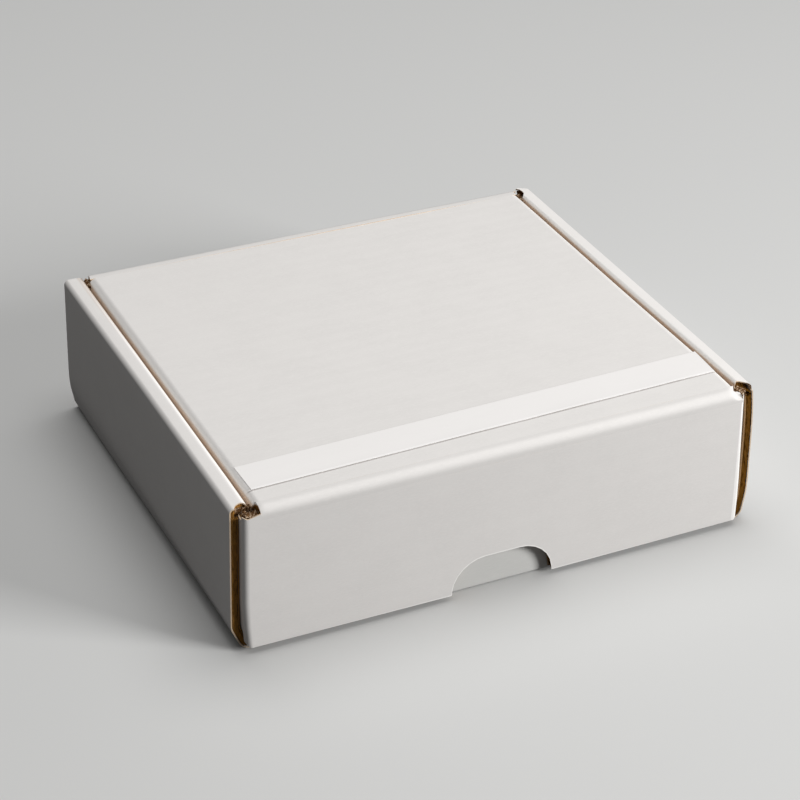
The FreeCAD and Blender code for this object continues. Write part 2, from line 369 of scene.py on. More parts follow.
def frayed(paper, cream):
    """Dark torn fibre with pale flecks of liner."""
    flecks = paper.cloud(1150, 3, roughness=0.7)
    return paper.painted(paper.blended(paper.ramp(flecks, 0.51, 0.60), paper.colour, cream))


def darker_right(paper, tone):
    """Fluting with painted shade at the right of the box, where the key lamp lights the cut ends
    that lie in shade at the left.
    """
    right = paper.ramp(paper.axes()["X"], -0.06, 0.06)
    # Painted shade for the lit right
    deep = paper.blended(1.0, paper.colour, tone, "MULTIPLY")
    return paper.painted(paper.blended(right, paper.colour, deep))


def strip_front_highlight(paper, tone):
    """The strip's paper with a painted highlight along its front edge."""
    mask = paper.ramp(paper.ahead_of_strip(), -0.0012, -0.0005)
    return paper.painted(paper.blended(mask, paper.colour, tone))


WHITE = (0.815, 0.79, 0.765)
# The tone of painted highlights on creases and cut edges
HIGHLIGHT_TONE = (1.0, 0.98, 0.95)
# The tone of the painted shadow line ahead of the strip's front edge
STRIP_SHADOW_TONE = (0.52, 0.49, 0.47)
LEVEL = (0.28, 1, 1)
UPRIGHT = (1, 1, 0.28)
EVEN = (1, 1, 1)
# The lid's white, with painted warm shade down its side edges, a painted highlight on their creases
# and a painted shadow line ahead of the strip
white_flat = worn_folds(
    Paper("white_liner_lid", WHITE, 0.05, LEVEL, washboard=0.10),
    84.2, 86.2, (0.76, 0.61, 0.48), (84.6, 85.6), strip_shadow=True,
)
# The side walls' white, with painted warm shade in the rails' inner folds and a painted highlight
# on their creases
white_side = worn_folds(
    Paper("white_liner_side", WHITE, 0.05, UPRIGHT),
    89.8, 88.1, (0.56, 0.43, 0.33), (89.0, 88.2), low=0.0524,
)
# The flap's white, with a painted highlight along its bottom, its notch and its right end
white_flap = pressed_edge(Paper("white_liner_flap", WHITE, 0.05, LEVEL, washboard=0.10))
# A slightly darker copy of the white liner, for the fold, the back wall and the corner flaps:
# painted shade that tones down the light on the fold
white_fold_painted_shade = Paper("white_liner_fold_painted_shade", (0.79, 0.766, 0.742), 0.05, LEVEL).painted()
# The front wall's white is darker: painted shade for a wall set back behind the flap
front_wall_painted_shade = Paper("white_liner_front_wall_painted_shade", (0.68, 0.675, 0.65), 0.05, LEVEL).painted()
torn_fibre = frayed(
    Paper("torn_fibre", (0.15, 0.078, 0.034), 0.60, EVEN, 0.9, 0.9, sheen=0.0), (0.62, 0.47, 0.33),
)
cut_paper = Paper("cut_liner_edge", (0.70, 0.55, 0.40), 0.10, EVEN, 0.8, 0.3, sheen=0.1).painted()
kraft = Paper(
    "brown_inner_liner", (0.40, 0.27, 0.155), 0.10, (0.15, 1, 1), 0.78, 0.3, sheen=0.15,
).painted()
# Fluting with painted shade on the right, where the key lamp lights the cut ends
fluting = darker_right(
    Paper("brown_fluting", (0.34, 0.165, 0.040), 0.55, (1, 1, 0.3), 0.9, 0.8, sheen=0.0),
    (0.34, 0.31, 0.22),
)
# The strip's white, with a painted highlight along its front edge
tape = strip_front_highlight(
    Paper("white_strip", (0.93, 0.905, 0.885), 0.012, (0.1, 1, 1), 0.5, 0.05), (1.0, 0.98, 0.965),
)


# Sheet work


def chain(corners, place, at, closed=False):
    """A bmesh with the corners' points and the edges that join them."""
    bm = bmesh.new()
    verts = [bm.verts.new(place(a, b) + at) for a, b, _ in corners]
    pairs = list(zip(verts, verts[1:]))
    if closed:
        pairs.append((verts[-1], verts[0]))
    for pair in pairs:
        bm.edges.new(pair)
    return bm, verts


def turn_at(corners, i):
    """How far the line through the corners turns at one of them."""
    here = Vector(corners[i][:2])
    before = Vector(corners[i - 1][:2])
    after = Vector(corners[(i + 1) % len(corners)][:2])
    return (here - before).angle(after - here)


def runs_along(edge, axis):
    """Whether an edge lies along an axis."""
    return abs((edge.verts[0].co - edge.verts[1].co).normalized().dot(axis)) > 0.99


def skin(corners, place, along, start, end, steps=1, segments=6):
    """A folded sheet's face: corners (a, b, radius) joined, pulled out and rounded at folds."""
    bm, verts = chain(corners, place, along * start)
    pulled = bmesh.ops.extrude_edge_only(bm, edges=bm.edges[:])["geom"]
    moved = [v for v in pulled if isinstance(v, bmesh.types.BMVert)]
    bmesh.ops.translate(bm, vec=along * (end - start), verts=moved)
    folds = []
    for i in range(1, len(corners) - 1):
        radius = corners[i][2]
        if radius <= 0:
            continue
        for edge in verts[i].link_edges:
            if runs_along(edge, along):
                folds.append((edge, radius * math.tan(turn_at(corners, i) / 2.0)))
    for edge, reach in folds:
        bmesh.ops.bevel(
            bm, geom=[edge], offset=reach, offset_type="OFFSET", affect="EDGES",
            segments=segments, profile=0.5, material=-1, clamp_overlap=False,
        )
    bmesh.ops.remove_doubles(bm, verts=bm.verts[:], dist=0.001)
    if steps > 1:
        long_edges = [e for e in bm.edges if runs_along(e, along)]
        bmesh.ops.subdivide_edges(bm, edges=long_edges, cuts=steps - 1, use_grid_fill=True)
    return bm


def inset(corners, depth, tightest=0.0):
    """The corners of a layer that lies that deep in the board, to the left of the line's run."""
    points = [Vector(c[:2]) for c in corners]
    runs = [(b - a).normalized() for a, b in zip(points, points[1:])]
    lefts = [Vector((-r.y, r.x)) for r in runs]
    moved = []
    for i, (a, b, radius) in enumerate(corners):
        if i == 0:
            shift = lefts[0] * depth
        elif i == len(corners) - 1:
            shift = lefts[-1] * depth
        else:
            shift = (lefts[i - 1] + lefts[i]) * depth / (1.0 + lefts[i - 1].dot(lefts[i]))
        new_radius = max(radius - depth, tightest) if radius > 0 else 0
        moved.append((a + shift.x, b + shift.y, new_radius))
    kept = moved[:1]
    for i in range(1, len(moved)):
        run = Vector(moved[i][:2]) - Vector(kept[-1][:2])
        if run.dot(runs[i - 1]) > 0.6:
            kept.append(moved[i])
        else:
            a, b = (Vector(kept[-1][:2]) + Vector(moved[i][:2])) / 2.0
            kept[-1] = (a, b, tightest)
    return kept


def cutter(bm):
    """Finish a cutter: faces outwards, and what it cuts gets the second finish, the cut edge's."""
    bmesh.ops.recalc_face_normals(bm, faces=bm.faces[:])
    for face in bm.faces:
        face.material_index = 1
    return as_mesh(bm, "cut", white_flat, cut_paper)


def prism(corners, place, along, low, high):
    """A cutter: a closed outline, rounded at its corners, pulled out along an axis."""
    bm, verts = chain(corners, place, along * low, closed=True)
    for i, (_, _, radius) in enumerate(corners):
        if radius > 0:
            bmesh.ops.bevel(
                bm, geom=[verts[i]], offset=radius * math.tan(turn_at(corners, i) / 2.0),
                offset_type="OFFSET", affect="VERTICES", segments=6, profile=0.5, material=-1,
            )
    face = bmesh.ops.contextual_create(bm, geom=bm.edges[:])["faces"]
    pulled = bmesh.ops.extrude_face_region(bm, geom=face, use_keep_orig=True)["geom"]
    moved = [v for v in pulled if isinstance(v, bmesh.types.BMVert)]
    bmesh.ops.translate(bm, vec=along * (high - low), verts=moved)
    return cutter(bm)


def cuboid(x0, x1, y0, y1, z0, z1):
    """A bmesh box between two corners."""
    bm = bmesh.new()
    bmesh.ops.create_cube(bm, size=1.0)
    bmesh.ops.scale(bm, vec=(x1 - x0, y1 - y0, z1 - z0), verts=bm.verts[:])
    middle = ((x0 + x1) / 2, (y0 + y1) / 2, (z0 + z1) / 2)
    bmesh.ops.translate(bm, vec=middle, verts=bm.verts[:])
    return bm


def block(*limits):
    """A cutter between two corners."""
    return cutter(cuboid(*limits))


def drill(x, y, radius, z0, z1):
    """An upright round cutter whose edge wanders a little, as a blunt die's does."""
    bm = bmesh.new()
    bmesh.ops.create_cone(
        bm, cap_ends=True, segments=40, radius1=radius, radius2=radius, depth=z1 - z0,
    )
    for v in bm.verts:
        ragged = 1 + 0.05 * noise.noise(Vector((v.co.x * 1.3, v.co.y * 1.3, x)))
        v.co.x *= ragged
        v.co.y *= ragged
    bmesh.ops.translate(bm, vec=(x, y, (z0 + z1) / 2), verts=bm.verts[:])
    return cutter(bm)


def mirrored(mesh):
    """The same cutter on the left."""
    bm = bmesh.new()
    bm.from_mesh(mesh)
    bmesh.ops.scale(bm, vec=(-1, 1, 1), verts=bm.verts[:])
    return cutter(bm)


def both(cutters):
    """Cutters on the right with their mirror images."""
    return cutters + [mirrored(c) for c in cutters]


def cut_layer(bm, thickness=0.0, offset=1, cutters=(), keep=None, grain=0.0):
    """Give a layer's face its thickness, cut it and return the result as a mesh.

    Only the part inside keep stays, where that is given, and a grain makes the surface fine and
    even.
    """
    layer = in_scene("layer", as_mesh(bm, "layer", white_flat, cut_paper))
    if thickness:
        wall = layer.modifiers.new("thickness", "SOLIDIFY")
        wall.thickness = thickness
        wall.offset = offset
        wall.use_even_offset = True
        wall.material_offset_rim = 1
    jobs = [(shape, "DIFFERENCE") for shape in cutters]
    if keep:
        jobs.insert(0, (keep, "INTERSECT"))
    tools = []
    for shape, operation in jobs:
        tool = in_scene("cut", shape)
        tools.append(tool)
        cut = layer.modifiers.new("cut", "BOOLEAN")
        cut.operation = operation
        cut.object = tool
        cut.solver = "MANIFOLD"
    if grain:
        fine = layer.modifiers.new("grain", "REMESH")
        fine.mode = "VOXEL"
        fine.voxel_size = grain
    bpy.context.view_layer.update()
    seen = layer.evaluated_get(bpy.context.evaluated_depsgraph_get())
    result = bpy.data.meshes.new_from_object(seen)
    for thing in tools + [layer]:
        bpy.data.objects.remove(thing)
    return result


def shift_points(bm, shift_of):
    """Move all points at once, each by the shift that is worked out for it."""
    bm.normal_update()
    shifts = [shift_of(v) for v in bm.verts]
    for v, shift in zip(bm.verts, shifts):
        v.co += shift


def roughened(mesh, shift_of):
    """The mesh with its points shifted."""
    bm = bmesh.new()
    bm.from_mesh(mesh)
    shift_points(bm, shift_of)
    bm.to_mesh(mesh)
    bm.free()
    return mesh


def waved(bm, wave_axis, phase):
    """Shift a mid face to and fro into flutes that run across the wave's axis."""
    def flute(v):
        turn = (v.co.dot(wave_axis) - phase) / FLUTE_PITCH * 2 * math.pi
        crush = 0.14 * noise.noise(v.co * 0.23) + 0.08 * noise.noise(v.co * 0.9)
        return v.normal * v.calc_shell_factor() * (FLUTE_REACH * math.sin(turn) + crush)

    shift_points(bm, flute)


def crumpled(v):
    """How far a point of a squashed core sinks between the liners, in streaks along the flutes."""
    streak = noise.noise(Vector((v.co.x * 1.5, v.co.y * 1.5, v.co.z * 0.6)))
    crumb = noise.noise(v.co * 3.1)
    return -v.normal * (0.26 + 0.30 * streak + 0.16 * crumb)


def lumpy(v):
    """How far a point of torn fibre stands out or in."""
    lump = 0.55 * noise.noise(v.co * 0.9) + 0.45 * noise.noise(v.co * 2.3)
    return v.normal * (lump + 0.22 * noise.noise(v.co * 5.0) - 0.15)


def torn(*limits):
    """A lump of crushed fibre that stands in a cut-out where the board's folds were forced."""
    return roughened(cut_layer(cuboid(*limits), grain=TORN_GRAIN), lumpy)


def split_line(corners):
    """The same line with straight runs divided finely enough to take the flutes' wave."""
    fine = []
    for i, (a, b, radius) in enumerate(corners):
        fine.append((a, b, radius))
        if i + 1 == len(corners):
            break
        c, d, next_radius = corners[i + 1]
        run = math.hypot(c - a, d - b)
        lead = radius * 1.05 + 0.05
        tail = next_radius * 1.05 + 0.05
        count = max(1, int((run - lead - tail) / FLUTE_STEP))
        for k in range(count + 1):
            t = (lead + (run - lead - tail) * k / count) / run
            if 0.001 < t < 0.999:
                fine.append((a + (c - a) * t, b + (d - b) * t, 0))
    return fine


def face_out(bm, flip):
    """Turn the faces so that the sheet's outside is their front."""
    if flip:
        bmesh.ops.reverse_faces(bm, faces=bm.faces[:])
    bm.normal_update()


def board(
    corners, place, along, start, end, cutters=(), wave=None, phase=0.0, segments=6, squashed=(),
    step=9.0,
):
    """The layers of one folded sheet. Corners run with the board's inside on their left.

    The flutes follow each other along the sheet's pull, or along the wave axis where it is given.
    In the squashed blocks, at cut edges, they are a rough solid core.
    """
    flip = place(0, 1).cross(place(1, 0)).dot(along) < 0
    length = abs(end - start)
    steps = max(1, round(length / step))
    outer = skin(corners, place, along, start, end, steps, segments)
    inner = skin(inset(corners, BOARD, 0.25), place, along, start, end, steps, segments)
    middle_line = inset(corners, BOARD / 2.0, 1.0)
    if wave is None:
        wave_steps = max(2, round(length / FLUTE_STEP))
    else:
        middle_line = split_line(middle_line)
        wave_steps = max(1, round(length / 30))
    middle = skin(middle_line, place, along, start, end, wave_steps, 5)
    waved(middle, along if wave is None else wave, phase)
    for bm in (outer, inner, middle):
        face_out(bm, flip)
    layers = {
        "outer": cut_layer(outer, OUTER_LINER, -1, cutters),
        "inner": cut_layer(inner, INNER_LINER, 1, cutters),
        "flute": cut_layer(middle, FLUTE_SHEET, 0, list(cutters) + list(squashed)),
    }
    for i, region in enumerate(squashed):
        core = skin(inset(corners, CORE_INSIDE, 0.2), place, along, start, end, 1, segments)
        face_out(core, flip)
        layers["core" + str(i)] = roughened(
            cut_layer(core, CORE, 1, cutters, region, CORE_GRAIN), crumpled,
        )
    return layers


pieces = {}


def add(name, mesh, on_left=False):
    """Gather a layer's mesh under the name of the piece that it belongs to."""
    pieces.setdefault(name, []).append((mesh, on_left))


def add_layers(stem, layers, sides=(False,)):
    """Gather the layers of a sheet, on the right as drawn or mirrored to the left."""
    for layer, mesh in layers.items():
        for on_left in sides:
            add(stem + "_" + layer.rstrip("0123456789"), mesh, on_left)


# The folded box

front_reliefs = [
    drill(-LEFT_HOLE, FRONT_FACE - 0.7, LEFT_HOLE_RADIUS, RELIEF_FOOT, RELIEF_HEAD),
    block(-HALF_WIDTH, -LEFT_RELIEF, FLAP_FACE - 2, FRONT_FACE - 0.7, RELIEF_FOOT, RELIEF_HEAD),
    prism([
        (HALF_WIDTH, -81.6, 0), (HALF_WIDTH, FRONT_FACE + 2.8, 0), (86.6, FRONT_FACE + 2.8, 0.4),
        (87.9, FRONT_FACE - 0.6, 2.0), (89.6, -81.4, 1.5),
    ], on_xy, UPWARD, RELIEF_FOOT, RELIEF_HEAD),
    block(
        LID_HALF - 1.0, HALF_WIDTH, FRONT_FACE - 0.6, FRONT_FACE + 3.4, RELIEF_FOOT, RELIEF_HEAD,
    ),
]
back_reliefs = [
    prism([
        (LID_HALF - 1.2, BACK_FACE - 8.1, 0.4), (LID_HALF + 2, BACK_FACE - 8.1, 0),
        (LID_HALF + 2, BACK_FACE - 2.6, 0), (LID_HALF - 1.2, BACK_FACE - 2.6, 0.4),
    ], on_xy, UPWARD, RELIEF_FOOT, RELIEF_HEAD),
    mirrored(prism([
        (LID_HALF - 0.3, BACK_FACE - 8.0, 0), (LID_HALF + 2, BACK_FACE - 8.0, 0),
        (LID_HALF + 2, BACK_FACE + 1, 0), (LID_HALF - 2.0, BACK_FACE + 1, 0),
    ], on_xy, UPWARD, RELIEF_FOOT, RELIEF_HEAD)),
]
front_rail_relief = drill(
    HALF_WIDTH - 4.8, FRONT_FACE - 0.7, 3.2, LID_UNDER - 1.2, RELIEF_HEAD,
)
right_rail_reliefs = [
    front_rail_relief,
    drill(HALF_WIDTH - 3.8, FRONT_FACE - 0.45, 4.2, LID_UNDER + 1.0, RELIEF_HEAD),
    drill(HALF_WIDTH - 8.4, BACK_FACE - 3.2, 4.0, LID_UNDER - 1.2, RELIEF_HEAD),
]
corner_block = block(
    RAIL_INSIDE - 6, HALF_WIDTH + 1, FLAP_FACE - 1, FRONT_FACE + 5, LID_UNDER - 8, BOX_HEIGHT + 1,
)
back_corner_block = block(
    RAIL_INSIDE - 6, HALF_WIDTH + 1, BACK_FACE - 12, BACK_FACE + 1, LID_UNDER - 6, BOX_HEIGHT + 1,
)
tab_places = [(FRONT_FACE + BACK_FACE) / 2 + s * TAB_SPACING / 2 for s in (-1, 1)]

# Side wall: half the base, the outer panel, the rail and the inner panel
side_cuts = [
    block(RAIL_INSIDE - 1, 91.6, FRONT_FACE - 1, FRONT_FACE + 24, 1.5, LID_UNDER),
    block(RAIL_INSIDE - 1, 91.6, BACK_FACE - 3, BACK_FACE + 1, 1.5, LID_UNDER),
    block(-1, RAIL_INSIDE + 0.3, FRONT_FACE - 1, FRONT_FACE + BASE_TAIL, -1, 6),
    block(-1, RAIL_INSIDE + 0.3, BACK_FACE - BASE_TAIL, BACK_FACE + 1, -1, 6),
]
for middle in tab_places:
    side_cuts.append(block(
        RAIL_INSIDE - 0.3, INNER_OUTSIDE + 0.3, middle - TAB_LENGTH / 2 - 0.3,
        middle + TAB_LENGTH / 2 + 0.3, -1, 3.2,
    ))
side_squashed = [
    block(INNER_OUTSIDE + 0.5, HALF_WIDTH + 1, FRONT_FACE - 1, FRONT_FACE + 2.4, -1, LID_UNDER),
    block(
        RAIL_INSIDE - 1, HALF_WIDTH + 1, FRONT_FACE - 1, FRONT_FACE + 5, LID_UNDER, BOX_HEIGHT + 1,
    ),
    block(INNER_OUTSIDE + 0.5, HALF_WIDTH + 1, BACK_FACE - 2.4, BACK_FACE + 1, -1, LID_UNDER - 6),
    block(
        RAIL_INSIDE - 1, HALF_WIDTH + 1, BACK_FACE - 9, BACK_FACE + 1, LID_UNDER - 6,
        BOX_HEIGHT + 1,
    ),
]
wall_steps = [(HALF_WIDTH, z, 0) for z in (12, 14, 17, 22, 27, 32, 37, 41, 45, 48)]
for on_left, reliefs, outer_fold in (
    (True, [front_rail_relief], LEFT_RAIL_FOLD), (False, right_rail_reliefs, RIGHT_RAIL_FOLD),
):
    side = board(
        [(0, 0, 0), (HALF_WIDTH - 1, 0, 3.5), (HALF_WIDTH, 9, 20)] + wall_steps + [
            (HALF_WIDTH, BOX_HEIGHT, outer_fold), (RAIL_INSIDE, BOX_HEIGHT, RAIL_INNER_FOLD),
            (RAIL_INSIDE, BOARD + LAYER_GAP, 0),
        ], on_xz, BACKWARD, FRONT_FACE, BACK_FACE, side_cuts + reliefs,
        phase=FRONT_FACE + 1.0, squashed=side_squashed,
    )
    add_layers("side", side, (on_left,))
for middle in tab_places:
    tab = board(
        [(RAIL_INSIDE, BOARD + LAYER_GAP, 0), (RAIL_INSIDE, 0, 0)],
        on_xz, BACKWARD, middle - TAB_LENGTH / 2, middle + TAB_LENGTH / 2,
    )
    add_layers("side", tab, RIGHT_AND_LEFT)

# Front wall and back wall, with their folds into the base and the lid
front_cuts = both([
    block(WALL_HALF, RAIL_INSIDE, FRONT_FACE - 1, FRONT_FACE + 6, BOARD + LAYER_GAP, BOX_HEIGHT),
])
front_squashed = block(
    -WALL_HALF - 1, WALL_HALF + 1, FRONT_FACE - 1, FRONT_FACE + 4, LID_UNDER - 3, BOX_HEIGHT,
)
front_wall = board(
    [(FRONT_FACE, WALL_TOP, 0), (FRONT_FACE, 0, FOOT_FOLD), (FRONT_FACE + BASE_TAIL, 0, 0)],
    on_yz, ACROSS, -RAIL_INSIDE + BOARD, RAIL_INSIDE - BOARD, front_cuts,
    wave=UPWARD + BACKWARD * 0.6, squashed=[front_squashed],
)
add_layers("wall", front_wall)
back_cuts = both([
    block(RAIL_INSIDE - BOARD, HALF_WIDTH + 1, BACK_FACE - 9, BACK_FACE + 1, -1, WALL_TOP),
    block(WALL_HALF, RAIL_INSIDE, BACK_FACE - 9, BACK_FACE + 1, BOARD + LAYER_GAP, WALL_TOP),
])
back_wall = board(
    [
        (BACK_FACE - BASE_TAIL, 0, 0), (BACK_FACE, 0, FOOT_FOLD),
        (BACK_FACE, BOX_HEIGHT, BACK_FOLD), (BACK_FACE - 5, BOX_HEIGHT, 0),
    ], on_yz, ACROSS, -LID_HALF, LID_HALF, back_cuts + back_reliefs,
    wave=UPWARD + BACKWARD * 0.6, squashed=[back_corner_block],
)
add_layers("box", back_wall)

# Lid with its two side flaps
lean = LID_UNDER - DUST_FLAP_LOW
lid_cuts = []
for start, sign in ((FRONT_FACE + DUST_FLAP_FRONT, 1), (BACK_FACE - DUST_FLAP_BACK, -1)):
    lid_cuts.append(prism([
        (start - sign * 40, LID_UNDER, 0), (start, LID_UNDER, 0),
        (start + sign * lean, DUST_FLAP_LOW, 3.0), (start + sign * (lean + 20), DUST_FLAP_LOW, 0),
        (start + sign * (lean + 20), DUST_FLAP_LOW - 5, 0),
        (start - sign * 40, DUST_FLAP_LOW - 5, 0),
    ], on_yz, ACROSS, RAIL_INSIDE - 5, HALF_WIDTH))
lid = board(
    [
        (LID_HALF, DUST_FLAP_LOW, 0), (LID_HALF, BOX_HEIGHT, LID_EDGE_FOLD),
        (-LID_HALF, BOX_HEIGHT, LID_EDGE_FOLD), (-LID_HALF, DUST_FLAP_LOW, 0),
    ], on_xz, BACKWARD, FLAP_FACE + FOLD_REACH, BACK_FACE - 5,
    both(lid_cuts) + front_reliefs + back_reliefs,
    squashed=both([corner_block, back_corner_block]),
)
add_layers("lid", lid)

# Corner flaps of the front and back walls, glued inside the side walls
for face, inward, dust_start in ((FRONT_FACE, 1, DUST_FLAP_FRONT), (BACK_FACE, -1, DUST_FLAP_BACK)):
    tip = face + inward * CORNER_FLAP_LENGTH
    top = DUST_FLAP_LOW - SLANT_GAP
    start = face + inward * (dust_start + LID_UNDER - SLANT_GAP - WALL_TOP)
    slant = inward * (WALL_TOP - top)
    above = prism([
        (start, WALL_TOP, 0), (start + slant, top, 4.0), (tip, top, 4.0), (tip, 0, 0),
        (tip + inward * 9, 0, 0), (tip + inward * 9, WALL_TOP + 5, 0), (start, WALL_TOP + 5, 0),
    ], on_yz, ACROSS, RAIL_INSIDE - 5, RAIL_INSIDE + 2)
    corners = [(WALL_HALF, face, 0), (RAIL_INSIDE, face, BOARD), (RAIL_INSIDE, tip, 0)]
    if inward < 0:
        corners = corners[::-1]
    region = corner_block if inward > 0 else back_corner_block
    corner_flap = board(
        corners, on_xy, UPWARD, BOARD + LAYER_GAP, WALL_TOP, [above], squashed=[region],
    )
    add_layers("box", corner_flap, RIGHT_AND_LEFT)

# Crushed fibre in the cut-outs at the box's four upper corners
for x0, x1, y0, y1, below, above, on_left in (
    (85.2, 88.2, FRONT_FACE + 1.3, FRONT_FACE + 3.0, 3, 1.5, True),
    (88.2, 92.9, FRONT_FACE + 1.6, FRONT_FACE + 3.1, 2, 1.5, True),
    (87.0, 92.9, FRONT_FACE + 1.3, FRONT_FACE + 3.8, 3, 0.9, False),
    (84.9, 91.0, BACK_FACE - 8.2, BACK_FACE - 0.9, 3, 0.9, False),
    (86.2, 88.6, BACK_FACE - 6.6, BACK_FACE - 0.9, 3, 1.3, True),
):
    add("box_fibre", torn(x0, x1, y0, y1, LID_UNDER - below, LID_UNDER + above), on_left)

# The front flap. Its ears are trimmed to the arc that clears the side walls' foot as they swing.
reach = BOX_HEIGHT - BOARD - SWEEP_GAP
under_rail = LID_UNDER - EAR_GAP
swing = []
for i in range(7):
    y = FLAP_BACK + (EAR_TIP - EAR_ROUND - FLAP_BACK) * i / 6
    swing.append((y, BOX_HEIGHT - math.sqrt(reach ** 2 - (y - FLAP_FACE) ** 2) + 0.05, 0))
flap_cuts = both([prism([
    (FLAP_BACK, -5, 0), (20, -5, 0), (20, 60, 0), (FLAP_FACE + 1.3, 60, 0),
    (FLAP_FACE + 1.5, under_rail + 0.4, 0.4), (FRONT_FACE + 1.5, under_rail, 0),
    (EAR_TIP, under_rail - 4.0, EAR_ROUND), (EAR_TIP, swing[-1][1], EAR_ROUND),
] + swing[::-1], on_yz, ACROSS, RAIL_INSIDE - 8, HALF_WIDTH)])
for edge in (FLAP_LEFT, FLAP_FOOT_RIGHT):
    side_of = math.copysign(1, edge)
    flap_cuts.append(prism([
        (edge - side_of * 3.6, FLOOR_GAP - 0.6, 0), (edge - side_of * 1.6, FLOOR_GAP, 2.5),
        (edge, FLOOR_GAP + 1.9, 2.5), (edge + side_of * 0.4, FLOOR_GAP + 4.2, 0),
        (edge + side_of * 3, FLOOR_GAP + 4.2, 0), (edge + side_of * 3, FLOOR_GAP - 2, 0),
        (edge - side_of * 3.6, FLOOR_GAP - 2, 0),
    ], on_xz, BACKWARD, FLAP_FACE - 1, FLAP_BACK + 4))
flap_cuts.append(prism([
    (-95, SHOULDER_TOP - 0.6, 0), (-92, SHOULDER_TOP - 0.7, 0), (-90.2, SHOULDER_TOP - 1.5, 0.8),
    (-86, SHOULDER_TOP - 0.1, 0), (-85, 60, 0), (-95, 60, 0),
], on_xz, BACKWARD, FLAP_FACE - 1, FLAP_BACK + 4))
flap_cuts.append(block(
    -LEFT_RELIEF, RIGHT_RELIEF, FLAP_FACE - 2, FLAP_BACK + 2, BOX_HEIGHT - FOLD_REACH, RELIEF_HEAD,
))
flap_cuts.append(prism([
    (NOTCH_MIDDLE - NOTCH_FOOT, -1, 0), (NOTCH_MIDDLE - NOTCH_HEAD, NOTCH_HEIGHT, NOTCH_ROUND),
    (NOTCH_MIDDLE + NOTCH_HEAD, NOTCH_HEIGHT, NOTCH_ROUND), (NOTCH_MIDDLE + NOTCH_FOOT, -1, 0),
], on_xz, BACKWARD, FLAP_FACE - 1, FLAP_BACK + 1))
notch_left = NOTCH_MIDDLE - NOTCH_PRESSED
notch_right = NOTCH_MIDDLE + NOTCH_PRESSED
flap_squashed = both([
    block(LEFT_RELIEF - 3, HALF_WIDTH, FLAP_FACE - 1, EAR_TIP - 6, LID_UNDER - 3, BOX_HEIGHT),
]) + [
    block(-HALF_WIDTH, notch_left, FLAP_FACE - 1, FLAP_BACK + 1, -1, FLOOR_GAP + 1.6),
    block(notch_right, HALF_WIDTH, FLAP_FACE - 1, FLAP_BACK + 1, -1, FLOOR_GAP + 1.6),
    block(notch_left, notch_right, FLAP_FACE - 1, FLAP_BACK + 1, -1, 15.5),
]
flap = board(
    [
        (-EAR_OUTSIDE, EAR_TIP, 0), (-EAR_OUTSIDE, FRONT_FACE + 2.6, 4),
        (FLAP_LEFT, FLAP_FACE, 2.3), (FLAP_RIGHT, FLAP_FACE, 1.5),
        (EAR_OUTSIDE - 0.2, FRONT_FACE + 2, 4), (EAR_OUTSIDE - 0.2, EAR_TIP, 0),
    ], on_xy, UPWARD, FLOOR_GAP, SHOULDER_TOP, flap_cuts,
    phase=2.0, segments=5, squashed=flap_squashed,
)
add_layers("flap", flap)
for x0, x1, y0, top in ((-90.6, -86.3, 0.9, 0.5), (89.5, 91.0, 2.0, 1.1)):
    add("flap_fibre", torn(
        x0, x1, FLAP_FACE + y0, FRONT_FACE + 1.0, under_rail - 1, SHOULDER_TOP - top,
    ))

# The fold that the flap swings on
fold = board(
    [
        (FLAP_FACE + FOLD_REACH, BOX_HEIGHT, 0), (FLAP_FACE, BOX_HEIGHT, BOARD),
        (FLAP_FACE, BOX_HEIGHT - FOLD_REACH, 0),
    ], on_yz, ACROSS, -LID_HALF, RIGHT_RELIEF, front_reliefs,
    wave=BACKWARD + UPWARD, phase=0.4, squashed=both([corner_block]), step=0.9,
)
add_layers("fold", fold)


# Finished pieces


def ease(value, low, high):
    """0 below low, 1 above high and a smooth rise between."""
    t = min(1.0, max(0.0, (value - low) / (high - low)))
    return t * t * (3 - 2 * t)


def lean_in(co, height):
    """How far a point leans in towards the middle, by its height from 0 at the foot to 1."""
    across = abs(co.x) / HALF_WIDTH
    if co.x < 0:
        return 1.1 * height * across
    wall = 1.75 * max(0.0, (height - 0.5) / 0.5) ** 3
    lid_share = (1.3 - 0.5 * ease(-co.y, 0, 78)) * height
    flap_share = 2.0 * height ** 0.8
    on_rail = ease(co.x, 87.8, 92)
    on_flap = ease(-co.y, 78.5, 81.5)
    inward = (lid_share + (wall - lid_share) * on_rail) * (1 - on_flap) + flap_share * on_flap
    inward *= across
    return inward


